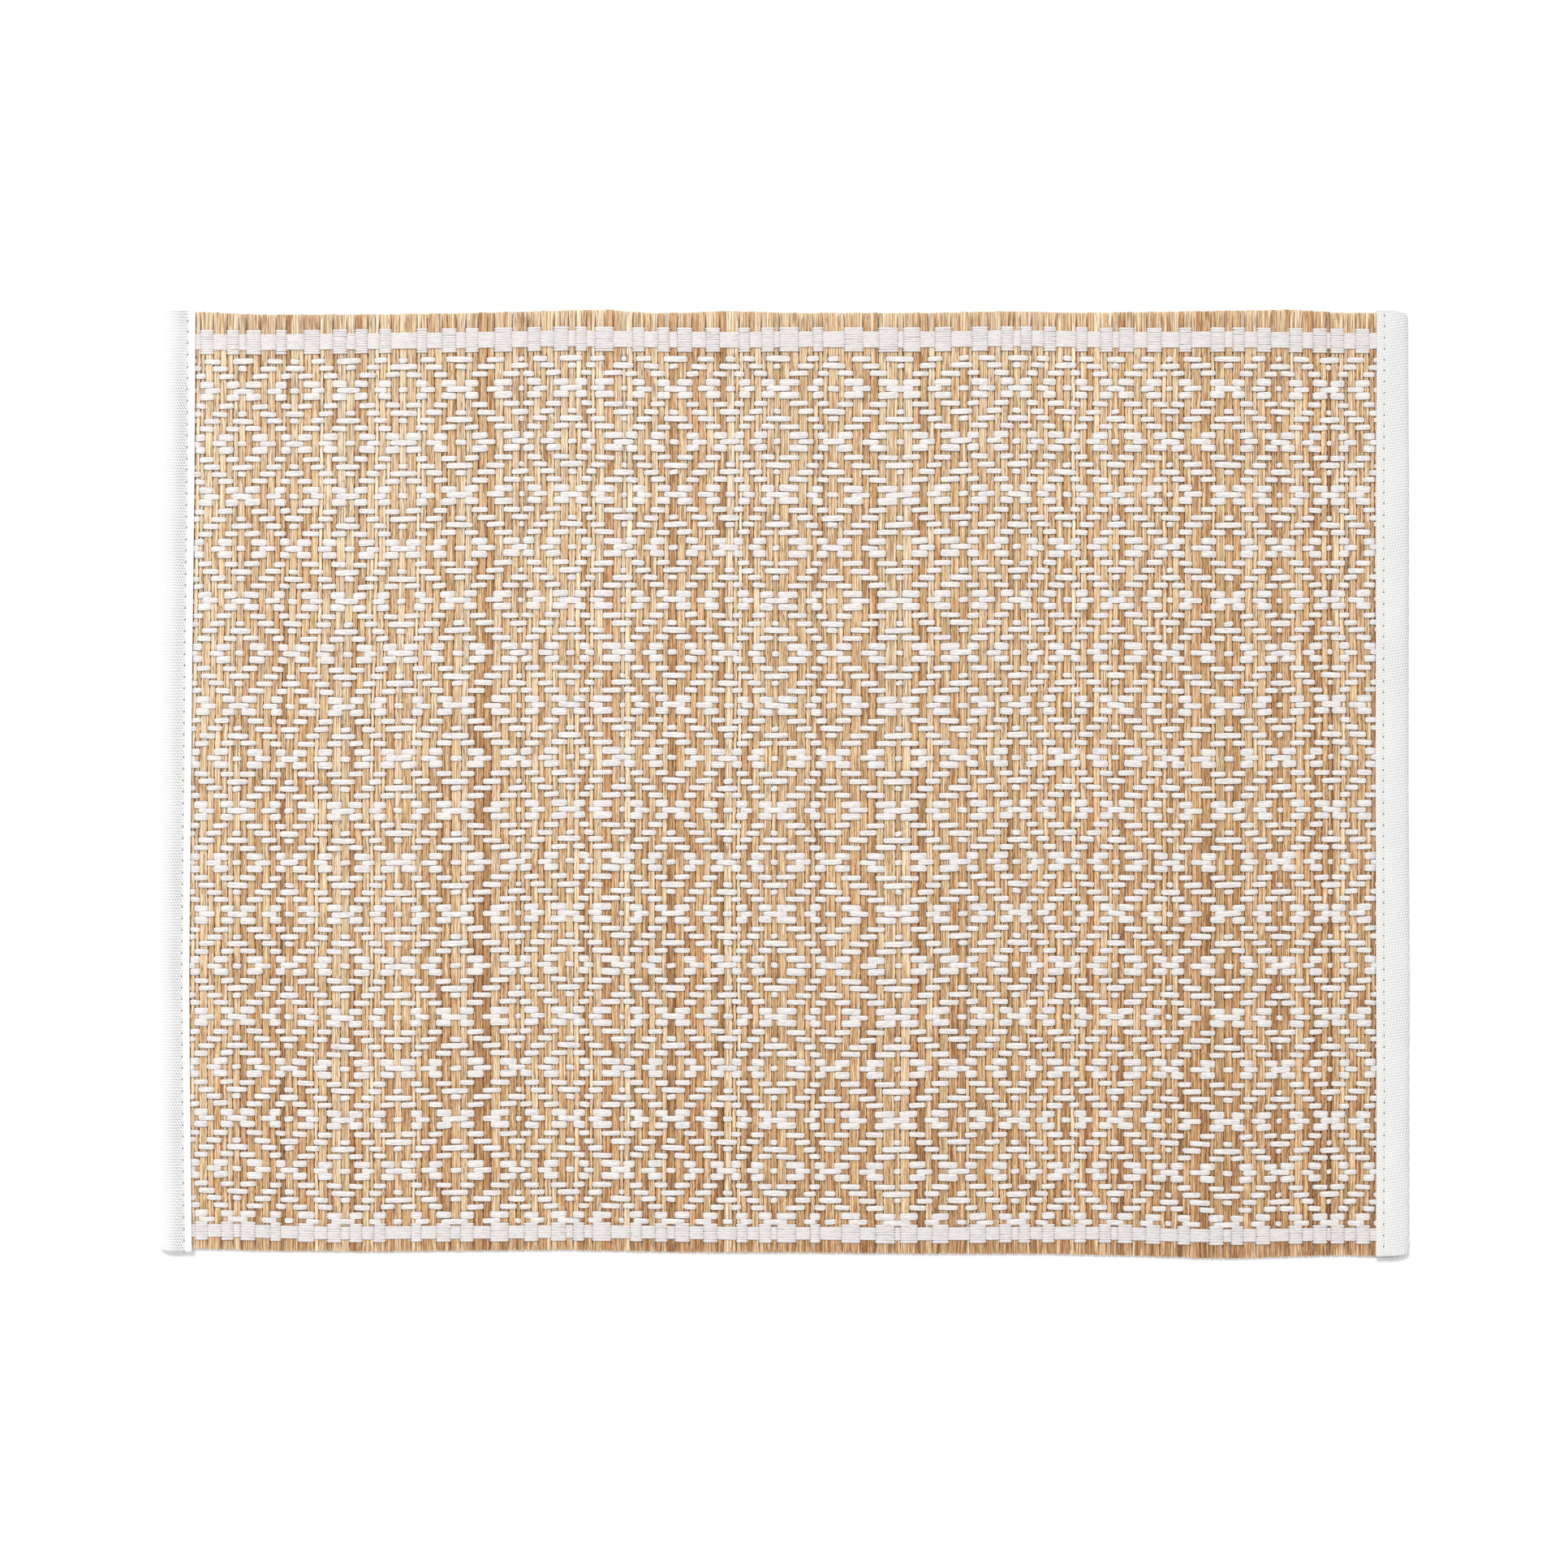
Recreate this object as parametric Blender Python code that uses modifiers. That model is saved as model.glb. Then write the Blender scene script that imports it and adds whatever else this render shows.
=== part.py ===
"""A woven grass placemat: grass stems laid side by side, tied by cotton yarn, its short ends bound in tape.

The mat lies flat on z = 0. X runs the long way, along the cotton yarn. Y runs the short way, along the
grass stems. The origin is the centre of the underside. All lengths are in metres.
"""

import math
import random

import bmesh
import bpy

MM = 0.001

# Driving dimensions of the whole mat
CLOTH_END_X = 221.5 * MM      # the woven cloth stops here, inside the tape's fold
MAT_THICKNESS = 2.6 * MM      # crest of an average grass rib above the table
RIB_DEPTH = 0.75 * MM         # valley between two ribs, below their crests
RIB_UNEVENNESS = 0.15 * MM    # how much one rib's crest differs from the next
STEM_END_DROP = 0.5 * MM      # the free ends of the stems are thinner than the woven field

# Tape binding on the two short ends
TAPE_THICKNESS = 0.6 * MM
TAPE_GAP = 0.3 * MM           # air between the tape and the cloth that it wraps
PINCHED_THICKNESS = 1.6 * MM  # the cloth where the tape presses it
TAPE_STACK = 2 * TAPE_THICKNESS + 2 * TAPE_GAP + PINCHED_THICKNESS
TAPE_CORNER = 1.4 * MM        # how far the fold is drawn in at the tape's cut ends
LIFT_START_X = 204.0 * MM     # outside this the underside rises to enter the tape
LIFT_END_X = 211.0 * MM
RAMP_STEP = 0.3 * MM          # the narrowest column of faces that the ribs may leave

# The weave turns back at these widths, from the left end to the right one, in millimetres.
# Each holds eight picks of grass, and two of them make one diamond.
HALF_DIAMONDS = [
    17.8, 18.8, 20.5, 18.8, 20.9, 22.9, 18.4, 18.9, 17.7, 20.7, 16.5,
    20.2, 25.0, 23.0, 19.4, 18.4, 17.3, 19.6, 21.5, 18.4, 18.2, 17.6,
]
FIRST_POINT_X = -215.5 * MM
PICKS_PER_HALF = 8
PICK_VARIATION = 0.42         # share by which a pick's width may differ from the average
SEED = 41

# Shafts raised for each pick of one whole diamond. Shaft 1 carries the borders' tall blocks.
TREADLING = ["23", "12", "41", "34", "23", "12", "41", "34", "23", "34", "41", "12", "23", "34", "41", "12"]
FIRST_TREADLE = 8

# Cotton borders across the top and bottom, each a row of tall and short blocks
BORDER_RISE = 0.35 * MM       # above the grass
BORDER_SLOPE = 0.5 * MM       # width of the border's sloping flank
BORDERS = [
    {"side": "top", "middle": 160.5 * MM, "tall": 8.8 * MM, "short": 5.6 * MM},
    {"side": "bottom", "middle": -162.2 * MM, "tall": 6.8 * MM, "short": 4.5 * MM},
]

# How far the borders stand above straight lines, in millimetres
BORDER_SAG = [
    {"x": -198, "top": -0.9, "bottom": 0.9},
    {"x": -160, "top": -0.8, "bottom": 0.0},
    {"x": -122, "top": -0.2, "bottom": 0.2},
    {"x": -81, "top": 0.3, "bottom": 0.7},
    {"x": -43, "top": 0.0, "bottom": 0.2},
    {"x": 0, "top": 0.0, "bottom": 0.0},
    {"x": 36, "top": 0.0, "bottom": -0.4},
    {"x": 77, "top": 0.4, "bottom": 0.0},
    {"x": 115, "top": 0.0, "bottom": -0.1},
    {"x": 157, "top": 0.0, "bottom": -0.9},
    {"x": 198, "top": -0.4, "bottom": -0.5},
]

# The stems' cut ends, where they stand furthest out and furthest back, in millimetres
GRASS_OUTLINE = [
    {"x": -214, "top": 170.6, "bottom": -167.7},
    {"x": -190, "top": 169.6, "bottom": -168.5},
    {"x": -150, "top": 169.8, "bottom": -168.9},
    {"x": -118, "top": 170.1, "bottom": -168.6},
    {"x": -80, "top": 171.2, "bottom": -168.3},
    {"x": -63, "top": 171.4, "bottom": -168.6},
    {"x": -48, "top": 170.0, "bottom": -168.9},
    {"x": -20, "top": 170.9, "bottom": -169.2},
    {"x": 8, "top": 170.2, "bottom": -169.2},
    {"x": 52, "top": 170.3, "bottom": -169.7},
    {"x": 82, "top": 170.9, "bottom": -169.7},
    {"x": 100, "top": 170.3, "bottom": -169.8},
    {"x": 128, "top": 170.6, "bottom": -170.4},
    {"x": 155, "top": 170.9, "bottom": -171.4},
    {"x": 172, "top": 171.2, "bottom": -171.2},
    {"x": 186, "top": 171.4, "bottom": -170.6},
    {"x": 200, "top": 170.3, "bottom": -170.3},
    {"x": 214, "top": 170.2, "bottom": -170.4},
]

# The tapes' edges, which waver a little, as distances from the middle in millimetres
TAPES = [
    {
        "name": "binding_left",
        "side": -1,
        "top": 171.2 * MM,
        "bottom": -168.9 * MM,
        "edges": [
            {"y": 172, "outer": 224.9, "inner": 212.4},
            {"y": 108, "outer": 225.2, "inner": 212.8},
            {"y": 50, "outer": 225.6, "inner": 213.5},
            {"y": -30, "outer": 225.7, "inner": 214.3},
            {"y": -70, "outer": 226.0, "inner": 214.7},
            {"y": -110, "outer": 225.8, "inner": 214.4},
            {"y": -172, "outer": 225.5, "inner": 213.7},
        ],
    },
    {
        "name": "binding_right",
        "side": 1,
        "top": 170.9 * MM,
        "bottom": -170.9 * MM,
        "edges": [
            {"y": 172, "outer": 225.3, "inner": 214.0},
            {"y": 108, "outer": 225.7, "inner": 213.7},
            {"y": 0, "outer": 225.5, "inner": 213.5},
            {"y": -70, "outer": 226.0, "inner": 213.7},
            {"y": -110, "outer": 225.8, "inner": 213.9},
            {"y": -172, "outer": 225.9, "inner": 213.6},
        ],
    },
]
TAPE_STATIONS = 24            # along the tape
FOLD_STEPS = 6                # round the fold
LEAF_STEPS = 3                # across each leaf of the tape
TAPE_WAVE = 0.08 * MM         # the sewn tape is drawn in and out a little along its stitches
TAPE_WAVE_LENGTH = 60.0 * MM


def mix(a, b, share):
    return a + (b - a) * share


def ease(value, start, end):
    """0 before start, 1 after end, and a smooth step between."""
    share = min(max((value - start) / (end - start), 0.0), 1.0)
    return share * share * (3 - 2 * share)


def read(rows, key, place, column):
    """The value of a column at a place, between the two rows that lie either side of it."""
    rows = sorted(rows, key=lambda row: row[key])
    place = min(max(place, rows[0][key]), rows[-1][key])
    for low, high in zip(rows, rows[1:]):
        if place <= high[key]:
            share = (place - low[key]) / (high[key] - low[key])
            return mix(low[column], high[column], share)
    return rows[-1][column]


def make_material(name, color, roughness):
    material = bpy.data.materials.new(name)
    material.use_nodes = True
    shader = material.node_tree.nodes["Principled BSDF"]
    shader.inputs["Base Color"].default_value = (*color, 1.0)
    shader.inputs["Roughness"].default_value = roughness
    shader.inputs["Metallic"].default_value = 0.0
    return material


def make_object(name, bm, material, collection):
    """Turn a bmesh into a named object with its own material."""
    mesh = bpy.data.meshes.new(name)
    bm.to_mesh(mesh)
    bm.free()
    mesh.materials.append(material)
    thing = bpy.data.objects.new(name, mesh)
    collection.objects.link(thing)
    return thing


def pick_edges():
    """The valleys between the picks of grass, from left to right.

    The weave's points fall on the middle of a pick, with eight uneven picks from one point to the next.
    """
    draw = random.Random(SEED)
    count = PICKS_PER_HALF * len(HALF_DIAMONDS) + 1
    widths = [1 + draw.uniform(-PICK_VARIATION, PICK_VARIATION) for _ in range(count)]
    centre = FIRST_POINT_X
    edges = []
    for half, span in enumerate(HALF_DIAMONDS):
        picks = widths[half * PICKS_PER_HALF:(half + 1) * PICKS_PER_HALF + 1]
        steps = [(a + b) / 2 for a, b in zip(picks, picks[1:])]
        scale = span * MM / sum(steps)
        for pick, step in zip(picks, steps):
            edges.append(centre + scale * pick / 2)
            centre += scale * step
    return edges


def block_kind(pick):
    """Which block of the cotton borders covers a pick."""
    raised = TREADLING[(pick + FIRST_TREADLE) % len(TREADLING)]
    return "tall" if "1" in raised else "short"


def mat_columns():
    """One column of points for each valley and each crest, with the crest's own unevenness."""
    draw = random.Random(SEED + 1)
    valleys = [(pick, x) for pick, x in enumerate(pick_edges()) if abs(x) < LIFT_END_X]
    columns = [{"x": -CLOTH_END_X, "crest": None, "kind": "short"}]
    columns.append({"x": -LIFT_END_X - RAMP_STEP, "crest": None, "kind": "short"})
    for (pick, x), (next_pick, next_x) in zip(valleys, valleys[1:]):
        columns.append({"x": x, "crest": 0.0, "kind": block_kind(pick)})
        crest = 1 + draw.uniform(-1, 1) * RIB_UNEVENNESS / RIB_DEPTH
        columns.append({"x": (x + next_x) / 2, "crest": crest, "kind": block_kind(next_pick)})
    columns.append({"x": valleys[-1][1], "crest": 0.0, "kind": "short"})
    columns.append({"x": LIFT_END_X + RAMP_STEP, "crest": None, "kind": "short"})
    columns.append({"x": CLOTH_END_X, "crest": None, "kind": "short"})
    return columns


def mat_lines(column):
    """The column's stations from its top end to its bottom one: how far along Y, and how high it stands."""
    x = column["x"]
    top = read(GRASS_OUTLINE, "x", x / MM, "top") * MM
    bottom = read(GRASS_OUTLINE, "x", x / MM, "bottom") * MM
    lines = [{"y": top, "rise": -STEM_END_DROP}]
    for border in BORDERS:
        half = border[column["kind"]] / 2
        middle = border["middle"] + read(BORDER_SAG, "x", x / MM, border["side"]) * MM
        lines.append({"y": middle + half + BORDER_SLOPE, "rise": 0.0})
        lines.append({"y": middle + half, "rise": BORDER_RISE})
        lines.append({"y": middle - half, "rise": BORDER_RISE})
        lines.append({"y": middle - half - BORDER_SLOPE, "rise": 0.0})
    lines.append({"y": bottom, "rise": -STEM_END_DROP})
    return lines


def mat_heights(column, rise):
    """The underside and the upper side of the cloth at one station."""
    bound = ease(abs(column["x"]), LIFT_START_X, LIFT_END_X)
    underside = bound * (TAPE_THICKNESS + TAPE_GAP)
    if column["crest"] is None:
        return underside, underside + PINCHED_THICKNESS
    crest = column["crest"]
    open_top = MAT_THICKNESS - RIB_DEPTH * (1 - crest) + rise
    pinched_top = TAPE_STACK - TAPE_THICKNESS - TAPE_GAP
    return underside, mix(open_top, min(open_top, pinched_top), bound)


def build_mat(material, collection):
    """The woven panel: a grid with a rib for each pick, thickened down to its flat underside."""
    columns = mat_columns()
    stations = len(mat_lines(columns[0]))
    bm = bmesh.new()
    bmesh.ops.create_grid(bm, x_segments=len(columns) - 1, y_segments=stations - 1, size=0.5)
    upper = sorted(bm.verts, key=lambda vert: (round(vert.co.x, 6), -round(vert.co.y, 6)))
    extruded = bmesh.ops.extrude_face_region(bm, geom=bm.faces[:])
    lower = [item for item in extruded["geom"] if isinstance(item, bmesh.types.BMVert)]
    lower.sort(key=lambda vert: (round(vert.co.x, 6), -round(vert.co.y, 6)))
    for number, column in enumerate(columns):
        for station, line in enumerate(mat_lines(column)):
            underside, upper_side = mat_heights(column, line["rise"])
            index = number * stations + station
            upper[index].co = (column["x"], line["y"], upper_side)
            lower[index].co = (column["x"], line["y"], underside)
    bmesh.ops.recalc_face_normals(bm, faces=bm.faces[:])
    lower_set = set(lower)
    flat_edges = [edge for edge in bm.edges if all(vert in lower_set for vert in edge.verts)]
    bmesh.ops.dissolve_limit(bm, angle_limit=math.radians(0.05), verts=[], edges=flat_edges)
    return make_object("woven_mat", bm, material, collection)


def tape_path(outer, inner):
    """The tape's section: over the upper leaf from its edge, round the fold and back under, as x and z."""
    radius = TAPE_STACK / 2
    straight = outer - radius - inner
    upper = [(inner + straight * step / LEAF_STEPS, TAPE_STACK) for step in range(LEAF_STEPS)]
    fold = []
    for step in range(FOLD_STEPS + 1):
        turn = math.pi / 2 - math.pi * step / FOLD_STEPS
        fold.append((outer - radius + radius * math.cos(turn), radius + radius * math.sin(turn)))
    lower = [(x, 0.0) for x, _ in reversed(upper)]
    return upper + fold + lower


def build_tape(tape, material, collection):
    """One folded tape: a strip bent round the mat's end, thickened inwards."""
    path_points = 2 * LEAF_STEPS + FOLD_STEPS + 1
    bm = bmesh.new()
    bmesh.ops.create_grid(bm, x_segments=path_points - 1, y_segments=TAPE_STATIONS - 1, size=0.5)
    verts = sorted(bm.verts, key=lambda vert: (round(vert.co.y, 6), round(vert.co.x, 6)))
    for station in range(TAPE_STATIONS):
        share = station / (TAPE_STATIONS - 1)
        y = mix(tape["bottom"], tape["top"], share)
        wave = TAPE_WAVE * math.sin(2 * math.pi * y / TAPE_WAVE_LENGTH)
        at_end = station in (0, TAPE_STATIONS - 1)
        outer = read(tape["edges"], "y", y / MM, "outer") * MM - (TAPE_CORNER if at_end else 0.0)
        inner = read(tape["edges"], "y", y / MM, "inner") * MM + wave
        for number, (x, z) in enumerate(tape_path(outer, inner)):
            verts[station * path_points + number].co = (tape["side"] * x, y, z)
    strip = make_object(tape["name"], bm, material, collection)
    thickness = strip.modifiers.new("tape thickness", "SOLIDIFY")
    thickness.thickness = TAPE_THICKNESS
    thickness.offset = -tape["side"]
    thickness.use_even_offset = True
    return strip


def main():
    for thing in list(bpy.data.objects):
        bpy.data.objects.remove(thing)
    collection = bpy.data.collections.new("woven grass placemat")
    bpy.context.scene.collection.children.link(collection)
    build_mat(make_material("dried grass", (0.60, 0.40, 0.22), 0.55), collection)
    for tape in TAPES:
        build_tape(tape, make_material(tape["name"] + " cotton", (0.86, 0.85, 0.83), 0.85), collection)


main()
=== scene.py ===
"""The looks of a woven grass placemat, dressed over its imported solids.

Lengths in the tables are in millimetres and are turned into metres where the meshes are made. X runs along
the cotton yarn, Y along the grass stems, and the mat lies on z = 0.
"""

import math
import random

import bpy
import numpy as np
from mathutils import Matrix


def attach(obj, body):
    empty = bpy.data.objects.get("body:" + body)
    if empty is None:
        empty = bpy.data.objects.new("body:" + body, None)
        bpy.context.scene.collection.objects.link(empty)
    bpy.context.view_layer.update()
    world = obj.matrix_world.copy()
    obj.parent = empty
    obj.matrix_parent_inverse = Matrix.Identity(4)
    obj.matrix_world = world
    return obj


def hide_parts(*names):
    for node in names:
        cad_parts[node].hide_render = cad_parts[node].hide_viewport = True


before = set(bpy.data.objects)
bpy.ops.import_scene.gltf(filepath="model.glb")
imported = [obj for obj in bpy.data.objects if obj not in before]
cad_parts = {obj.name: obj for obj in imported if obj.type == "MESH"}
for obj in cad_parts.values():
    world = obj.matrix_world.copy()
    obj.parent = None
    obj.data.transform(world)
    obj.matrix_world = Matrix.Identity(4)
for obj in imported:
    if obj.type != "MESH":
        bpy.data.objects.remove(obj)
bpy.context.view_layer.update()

MM = 0.001

# The weave turns back at these widths, from the left end to the right one. Each holds eight picks of grass.
HALF_DIAMONDS = [
    17.8, 18.8, 20.5, 18.8, 20.9, 22.9, 18.4, 18.9, 17.7, 20.7, 16.5,
    20.2, 25.0, 23.0, 19.4, 18.4, 17.3, 19.6, 21.5, 18.4, 18.2, 17.6,
]
FIRST_POINT_X = -215.5
PICKS_PER_HALF = 8
PICK_VARIATION = 0.42
SEED = 41
HIDDEN_PICKS = 3              # more picks beyond each end, under the tape
HIDDEN_PICK_WIDTH = 1.8

# Shafts raised for each pick of one whole diamond, from the point where shaft 2 floats over three picks
TREADLING = ["23", "12", "41", "34", "23", "12", "41", "34", "23", "34", "41", "12", "23", "34", "41", "12"]
FIRST_TREADLE = 8

# One repeat of the cotton rows from the top: the shaft, the strands laid side by side and the step to the
# next row
THREADING = [
    {"shaft": "1", "strands": 3, "step": 3.20},
    {"shaft": "4", "strands": 2, "step": 2.75},
    {"shaft": "3", "strands": 2, "step": 2.50},
    {"shaft": "2", "strands": 2, "step": 2.70},
    {"shaft": "1", "strands": 2, "step": 3.10},
    {"shaft": "4", "strands": 3, "step": 2.25},
    {"shaft": "3", "strands": 2, "step": 2.20},
    {"shaft": "4", "strands": 3, "step": 3.30},
    {"shaft": "1", "strands": 2, "step": 2.70},
    {"shaft": "2", "strands": 2, "step": 2.50},
    {"shaft": "3", "strands": 2, "step": 2.65},
    {"shaft": "4", "strands": 2, "step": 3.10},
    {"shaft": "1", "strands": 3, "step": 2.20},
    {"shaft": "2", "strands": 2, "step": 2.20},
]
LEADING_ROWS = 5              # the field starts part way through a repeat
WHOLE_REPEATS = 8
FIRST_ROW_Y = 153.5

# The rows are beaten a little closer towards the bottom: the steps' stretch by the share of rows passed
STRETCH = [
    {"share": 0.00, "factor": 1.0285},
    {"share": 0.45, "factor": 1.0145},
    {"share": 0.55, "factor": 1.0015},
    {"share": 1.00, "factor": 0.9850},
]

# Cotton borders: two groups of strands that come up in turn
BORDERS = [
    {
        "middle": 160.5,
        "tall": 8.8,
        "groups": [
            {"shaft": "1", "strands": 10, "pitch": 0.88, "closeness": 0.53},
            {"shaft": "3", "strands": 7, "pitch": 0.80, "closeness": 0.64},
        ],
    },
    {
        "middle": -162.2,
        "tall": 6.8,
        "groups": [
            {"shaft": "1", "strands": 7, "pitch": 0.96, "closeness": 0.56},
            {"shaft": "3", "strands": 5, "pitch": 0.90, "closeness": 0.64},
        ],
    },
]

# How far the cotton rows stand above straight lines, at the mat's top, middle and bottom
ROW_SAG = [
    {"x": -198, "top": -0.9, "middle": 0.0, "bottom": 0.9},
    {"x": -160, "top": -0.8, "middle": -0.3, "bottom": 0.0},
    {"x": -122, "top": -0.2, "middle": 0.0, "bottom": 0.2},
    {"x": -81, "top": 0.3, "middle": 0.5, "bottom": 0.7},
    {"x": -43, "top": 0.0, "middle": 0.3, "bottom": 0.2},
    {"x": 0, "top": 0.0, "middle": 0.0, "bottom": 0.0},
    {"x": 36, "top": 0.0, "middle": -0.1, "bottom": -0.4},
    {"x": 77, "top": 0.4, "middle": 0.4, "bottom": 0.0},
    {"x": 115, "top": 0.0, "middle": 0.3, "bottom": -0.1},
    {"x": 157, "top": 0.0, "middle": -0.1, "bottom": -0.9},
    {"x": 198, "top": -0.4, "middle": 0.4, "bottom": -0.5},
]

# The stems' cut ends, where they stand furthest out and furthest back
GRASS_OUTLINE = [
    {"x": -214, "top": 170.6, "bottom": -167.7},
    {"x": -190, "top": 169.6, "bottom": -168.5},
    {"x": -150, "top": 169.8, "bottom": -168.9},
    {"x": -118, "top": 170.1, "bottom": -168.6},
    {"x": -80, "top": 171.2, "bottom": -168.3},
    {"x": -63, "top": 171.4, "bottom": -168.6},
    {"x": -48, "top": 170.0, "bottom": -168.9},
    {"x": -20, "top": 170.9, "bottom": -169.2},
    {"x": 8, "top": 170.2, "bottom": -169.2},
    {"x": 52, "top": 170.3, "bottom": -169.7},
    {"x": 82, "top": 170.9, "bottom": -169.7},
    {"x": 100, "top": 170.3, "bottom": -169.8},
    {"x": 128, "top": 170.6, "bottom": -170.4},
    {"x": 155, "top": 170.9, "bottom": -171.4},
    {"x": 172, "top": 171.2, "bottom": -171.2},
    {"x": 186, "top": 171.4, "bottom": -170.6},
    {"x": 200, "top": 170.3, "bottom": -170.3},
    {"x": 214, "top": 170.2, "bottom": -170.4},
]

# The cloth's build-up above and below its middle plane
CLOTH_MIDDLE = 1.3
GRASS_HALF = 0.75             # half the thickness of a pick of grass
SLIT_OPEN = 0.22              # half the slit where a yarn passes between two picks
SLIT_CLOSED = 0.02            # and where a float holds them together
STEM_WIDTH = 0.95             # a usual stem
MOST_STEMS = 4                # in one pick
BLADE_SHARE = 0.15            # the share of picks that are one broad blade
BLADE_WIDTH = 2.6             # the broadest blade
GROOVE = 0.50                 # the height of the groove between two stems, as a share of theirs
PICK_EDGE = 0.25              # the height of a pick's sides, as a share of its half thickness
CUT_LENGTH = 0.3              # the stretch over which a stem narrows to its cut end
GRASS_SHARP = 42              # edges that turn by more degrees than this stay sharp
YARN_HALF = 0.27              # half the thickness of a flattened yarn
YARN_RISE = 0.98              # how far a float's middle stands from the cloth's middle
YARN_HALF_WIDTHS = {2: 1.03, 3: 1.36}   # by the number of strands
YARN_COLOR = (0.955, 0.915, 0.870)
YARN_SHADED = (0.74, 0.74, 0.78)        # painted shade: factors on its colour between the strands, in the twist's grooves and along the streaks
YARN_STAINED = (0.97, 0.94, 0.88)
FLOAT_EDGE = 0.08             # where a float comes up beside its first pick
FLOAT_INSET = 0.46            # and where it reaches its full height
FLOAT_DIP = 0.34              # how much lower it is at its ends
FLOAT_CROWN = 0.05            # how much higher a long float is in its middle
DIVE_INSET = 0.30             # where a yarn is fully below the cloth
LAST_ROW_RISE = 0.15          # how much higher the lowest row floats, on the lower border's edge
ROW_PIECES = 4                # the field's rows are joined into this many pieces
LIFT_START_X = 204.0          # outside this the cloth rises to enter the tape
LIFT_END_X = 211.0
LIFT = 0.4
PINCH = 0.78                  # the cloth's thickness under the tape, as a share

# Tape binding
TAPE_THICKNESS = 0.6
TAPE_STACK = 3.4
TAPE_CORNER = 1.4             # how far the fold is drawn in at the cut ends
TAPE_LEAF_STEPS = 6
TAPE_FOLD_STEPS = 7
SEAM_DIP = 0.12               # how far the stitches press the tape in
HOLE_DIP = 0.22               # and how much further at a needle hole
SEAM_STEPS = (-1.2, -0.5, 0.0, 0.5, 1.2)
DIP_REACH = 0.55              # how far the dips spread to each side of the seam
LEAF_START = 2.0              # the plain part of the leaf begins this far from the seam
LEAF_CROWN = 0.10
END_INSETS = (0.0, 0.25, 0.6, 1.0)
DRAWN_REACH = 1.5             # how far the drawn-in corners reach along the tape
END_SHADE_REACH = 0.50             # how far the painted shade of a frayed cut end reaches in from it
# how dark the painted shade along the upper cut ends is
TOP_END_SHADE = 0.1
TAPE_SHARP = 50               # edges that turn by more degrees than this stay sharp
DOT_PITCH = 1.03              # the raised dots of the tape's weave, along the tape
STITCH_INSET = 2.75           # from the tape's inner edge
STITCH_PLAY = 0.15            # how unevenly the needle holes follow each other
THREAD_HALF = 0.17            # half the sewing thread's thickness
THREAD_SIDES = 6
THREAD_UNDER = 0.24           # the height of the thread underneath
# One stitch from hole to hole, with its height over the seam
STITCH_BENDS = [
    {"share": 0.00, "height": -0.55},
    {"share": 0.14, "height": -0.06},
    {"share": 0.50, "height": 0.02},
    {"share": 0.86, "height": -0.06},
]
TAPES = [
    {
        "name": "left",
        "side": -1,
        "top": 170.8,
        "bottom": -168.9,
        "drawn_in": 0.2,      # how far the outer corners stand back from the cut ends
        "lean": -0.50,        # sideways step of the dots from row to row
        "rise": 0.0,          # upward step of the dots from column to column
        "cut_end_shade": 0.35,         # how dark the painted shade along the frayed lower cut end is
        "stitch": 4.15,       # length of a stitch
        # how strong the painted shade in the weave's hollows is, and how deep its bump, by the distance
        # across from the inner edge
        "weave": [
            {"across": 0.0, "hollow_shade_and_depth": 0.10},
            {"across": 2.3, "hollow_shade_and_depth": 0.12},
            {"across": 3.0, "hollow_shade_and_depth": 0.75},
            {"across": 5.0, "hollow_shade_and_depth": 0.90},
            {"across": 8.0, "hollow_shade_and_depth": 0.42},
            {"across": 12.0, "hollow_shade_and_depth": 0.10},
        ],
        "edges": [
            {"y": 172, "outer": 224.9, "inner": 212.4},
            {"y": 108, "outer": 225.2, "inner": 212.8},
            {"y": 50, "outer": 225.6, "inner": 213.5},
            {"y": -30, "outer": 225.7, "inner": 214.3},
            {"y": -70, "outer": 226.0, "inner": 214.7},
            {"y": -110, "outer": 225.8, "inner": 214.4},
            {"y": -172, "outer": 225.5, "inner": 213.7},
        ],
    },
    {
        "name": "right",
        "side": 1,
        "top": 170.9,
        "bottom": -170.9,
        "drawn_in": 1.0,
        "lean": 0.22,
        "rise": 0.17,
        "cut_end_shade": 1.0,
        "stitch": 4.0,
        # how strong the painted shade in the weave's hollows is, and how deep its bump, by the distance
        # across from the inner edge
        "weave": [
            {"across": 0.0, "hollow_shade_and_depth": 0.34},
            {"across": 4.0, "hollow_shade_and_depth": 0.45},
            {"across": 9.0, "hollow_shade_and_depth": 0.60},
            {"across": 12.0, "hollow_shade_and_depth": 0.75},
        ],
        "edges": [
            {"y": 172, "outer": 225.3, "inner": 214.0},
            {"y": 108, "outer": 225.7, "inner": 213.7},
            {"y": 0, "outer": 225.5, "inner": 213.5},
            {"y": -70, "outer": 226.0, "inner": 213.7},
            {"y": -110, "outer": 225.8, "inner": 213.9},
            {"y": -172, "outer": 225.9, "inner": 213.6},
        ],
    },
]

# The view: straight down, with the photograph's frame across 567.2 mm of the table
CAMERA_LENS = 85.0            # in millimetres, as is the sensor
CAMERA_SENSOR = 36.0
FRAME_WIDTH = 567.2

# Light: an even white room and a soft window above the photo's upper left
ROOM_LIGHT = 0.82
WINDOW_LIGHT = 1.55
WINDOW_COLOR = (1.0, 0.995, 0.985)
WINDOW_SPREAD = 16.0          # in degrees, as is the turn from straight above
WINDOW_TURN = (-30.0, -15.0, 0.0)

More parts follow.
